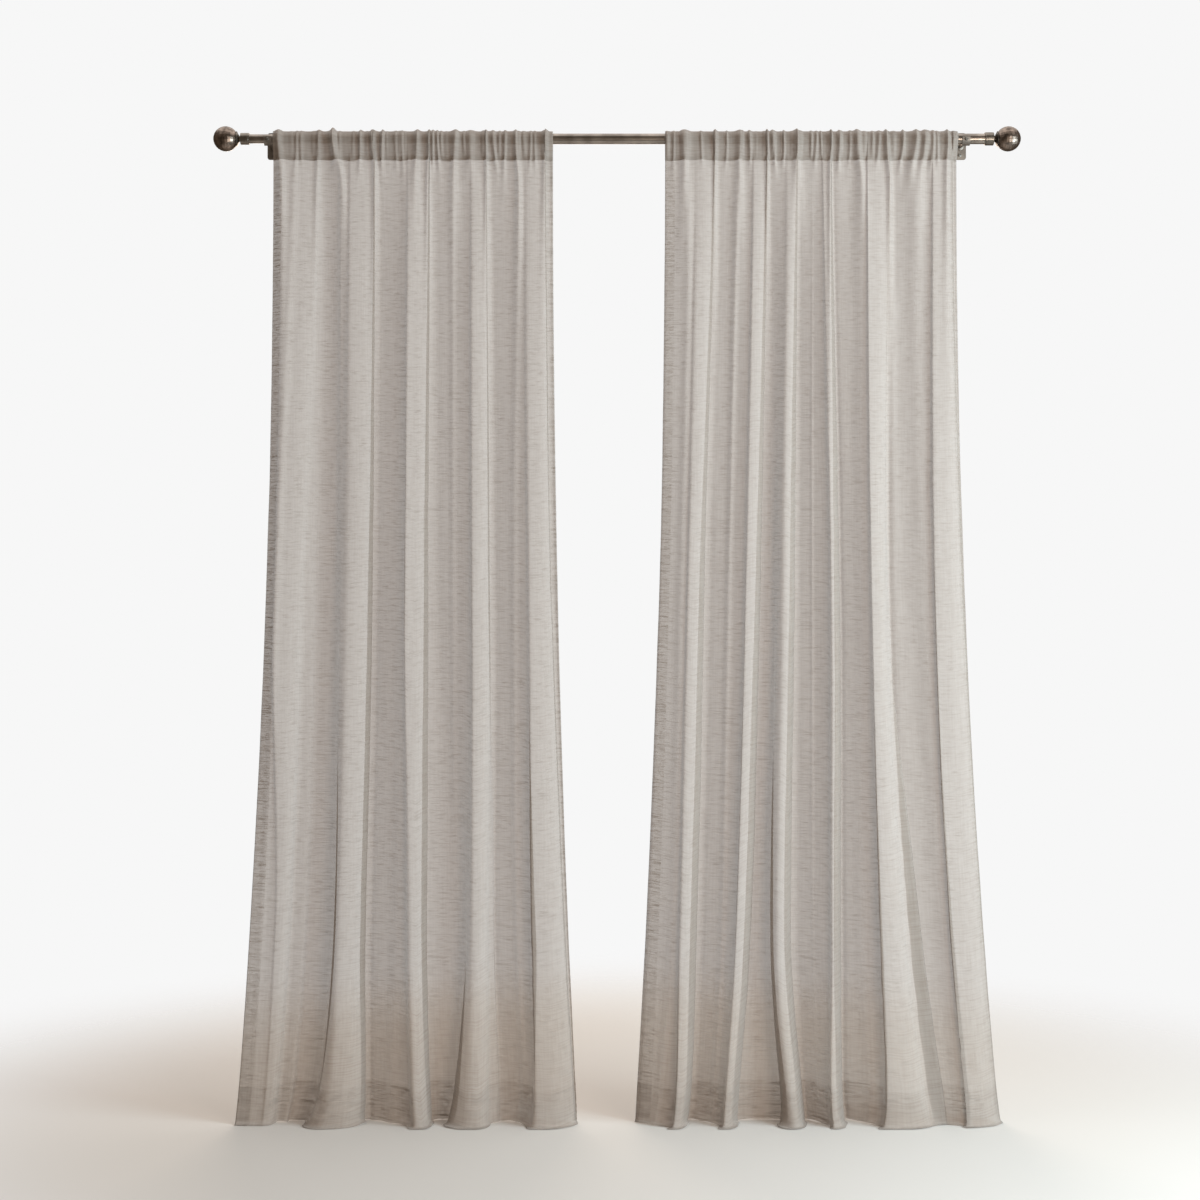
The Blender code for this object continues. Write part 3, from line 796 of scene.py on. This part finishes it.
def metal_material(name, colour, rough, mottle, dark=0.6):
    mat, tree = new_material(name)
    where = node(tree, "ShaderNodeTexCoord").outputs["Object"]
    cloud = stretched_noise(tree, where, (mottle, mottle, mottle), 3.0)
    shade = tuple(c * dark for c in colour)
    tone = ramp(tree, cloud, [(0.35, shade), (0.65, colour)])
    fine = stretched_noise(tree, where, (60, 900, 900), 1.0)
    roughness = node(tree, "ShaderNodeMapRange", {"Value": fine, 3: rough - 0.07, 4: rough + 0.07})
    bump = node(tree, "ShaderNodeBump", {"Height": fine, "Strength": 0.06, "Distance": 0.0003})
    shader = node(
        tree,
        "ShaderNodeBsdfPrincipled",
        {
            "Base Color": tone,
            "Metallic": 1.0,
            "Roughness": roughness.outputs["Result"],
            "Normal": bump.outputs["Normal"],
        },
    )
    node(tree, "ShaderNodeOutputMaterial", {"Surface": shader.outputs[0]})
    return mat


def plastic_material():
    mat, tree = new_material("dark_plastic")
    where = node(tree, "ShaderNodeTexCoord").outputs["Object"]
    grain = stretched_noise(tree, where, (500, 500, 500), 2.0)
    tone = ramp(tree, grain, [(0.3, (0.05, 0.045, 0.045)), (0.7, (0.08, 0.07, 0.07))])
    bump = node(tree, "ShaderNodeBump", {"Height": grain, "Strength": 0.1, "Distance": 0.0002})
    shader = node(
        tree,
        "ShaderNodeBsdfPrincipled",
        {"Base Color": tone, "Roughness": 0.5, "Normal": bump.outputs["Normal"]},
    )
    node(tree, "ShaderNodeOutputMaterial", {"Surface": shader.outputs[0]})
    return mat


def dress(names, mat):
    for name in names:
        obj = nodes[name]
        obj.data.materials.clear()
        obj.data.materials.append(mat)


# ---- stage ----
FLOOR_R = 2.6
FLOOR_SOLID_R = 0.9
FLOOR_SIDES = 96
FLOOR_COLOUR = (0.87, 0.85, 0.83, 1)
BACKGROUND = (0.93, 0.93, 0.93, 1)
AMBIENT = (1.0, 0.77, 0.56, 1)
AMBIENT_STRENGTH = 0.13


def floor():
    """A round pale floor that thins out towards its rim."""
    points = [(0.0, 0.0, FLOOR_Z)]
    for i in range(FLOOR_SIDES):
        a = 2 * math.pi * i / FLOOR_SIDES
        points.append((FLOOR_R * math.cos(a), FLOOR_R * math.sin(a), FLOOR_Z))
    faces = [(0, i + 1, (i + 1) % FLOOR_SIDES + 1) for i in range(FLOOR_SIDES)]
    mesh = bpy.data.meshes.new("floor")
    mesh.from_pydata(points, [], faces)
    obj = bpy.data.objects.new("floor", mesh)
    bpy.context.scene.collection.objects.link(obj)
    mat, tree = new_material("pale_floor")
    where = node(tree, "ShaderNodeTexCoord").outputs["Object"]
    away = node(tree, "ShaderNodeVectorMath", {0: where}, operation="LENGTH").outputs["Value"]
    solid = node(
        tree,
        "ShaderNodeMapRange",
        {"Value": away, "From Min": FLOOR_R, "From Max": FLOOR_SOLID_R},
        interpolation_type="SMOOTHERSTEP",
    ).outputs["Result"]
    paint = node(tree, "ShaderNodeBsdfPrincipled", {"Base Color": FLOOR_COLOUR, "Roughness": 0.9})
    clear = node(tree, "ShaderNodeBsdfTransparent")
    mixed = node(tree, "ShaderNodeMixShader", {0: solid, 1: clear.outputs[0], 2: paint.outputs[0]})
    node(tree, "ShaderNodeOutputMaterial", {"Surface": mixed.outputs[0]})
    mesh.materials.append(mat)
    obj.visible_diffuse = False  # it throws no light up on the hems, which are darker than the rest


def area_light(name, at, aim, size, watts, colour):
    data = bpy.data.lights.new(name, "AREA")
    data.shape = "RECTANGLE"
    data.size, data.size_y = size
    data.energy = watts
    data.color = colour
    obj = bpy.data.objects.new(name, data)
    obj.location = at
    obj.rotation_euler = (Vector(aim) - Vector(at)).to_track_quat("-Z", "Y").to_euler()
    obj.visible_camera = False
    bpy.context.scene.collection.objects.link(obj)


def lights():
    area_light("key", (3.0, -1.9, 1.4), (0, 0, 1.3), (2.2, 1.5), 124, (0.78, 0.94, 1.0))
    area_light("front", (2.0, -4.3, 1.1), (0.2, 0, 0.9), (1.6, 1.0), 70, (1.0, 0.85, 0.72))
    area_light("back", (-0.5, 4.2, 2.6), (0, 0, 1.2), (2.4, 1.6), 70, (1.0, 0.84, 0.70))
    area_light("overhead", (0, 0.9, 4.4), (0, 0.9, 0), (6.0, 4.4), 100, (1.0, 0.97, 0.94))
    world = bpy.data.worlds.new("studio")
    world.use_nodes = True
    tree = world.node_tree
    tree.nodes.clear()
    seen = node(tree, "ShaderNodeLightPath").outputs["Is Camera Ray"]
    ambient = node(tree, "ShaderNodeBackground", {"Color": AMBIENT, "Strength": AMBIENT_STRENGTH})
    backdrop = node(tree, "ShaderNodeBackground", {"Color": BACKGROUND})
    mixed = node(tree, "ShaderNodeMixShader", {0: seen, 1: ambient.outputs[0], 2: backdrop.outputs[0]})
    node(tree, "ShaderNodeOutputWorld", {"Surface": mixed.outputs[0]})
    bpy.context.scene.world = world
    bpy.context.scene.view_settings.view_transform = "Standard"


def camera():
    data = bpy.data.cameras.new("camera")
    data.lens = CAMERA_LENS
    data.sensor_width = SENSOR
    obj = bpy.data.objects.new("camera", data)
    obj.location = CAMERA_AT
    obj.rotation_euler = (math.pi / 2, 0.0, 0.0)
    bpy.context.scene.collection.objects.link(obj)
    bpy.context.scene.camera = obj


# ---- the object ----
camera()
floor()
lights()

sheer = cloth_material("sheer_linen_look", COVER)
sheer_hem = cloth_material("sheer_linen_look_hem", HEM_COVER)
for panel in PANELS:
    piece = curtain(panel, sheer, sheer_hem)
    own = [f"{panel.side}_pleat_{number}" for number in range(1, 7)]
    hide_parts(*own)

rod_metal = metal_material("antique_nickel", (0.42, 0.375, 0.335), 0.32, 30)
bracket_metal = metal_material("bracket_nickel", (0.38, 0.34, 0.305), 0.55, 30)
collar_metal = metal_material("dark_nickel", (0.30, 0.27, 0.235), 0.36, 40)
ball_metal = metal_material("hammered_nickel", (0.36, 0.29, 0.245), 0.36, 90, 0.4)
zinc = metal_material("zinc_steel", (0.27, 0.26, 0.24), 0.52, 90, 0.85)
plastic = plastic_material()
for name in nodes:
    if "pleat" in name:
        continue
    if "ball" in name:
        dress([name], ball_metal)
    elif name.endswith(("_collar", "_neck")):
        dress([name], collar_metal)
    elif name.endswith(("_plate", "_arm", "_cradle")):
        dress([name], bracket_metal)
    elif name.endswith(("_stud", "_screw", "_upper", "_lower")):
        dress([name], zinc)
    elif "plug" in name or "guide" in name:
        dress([name], plastic)
    else:
        dress([name], rod_metal)
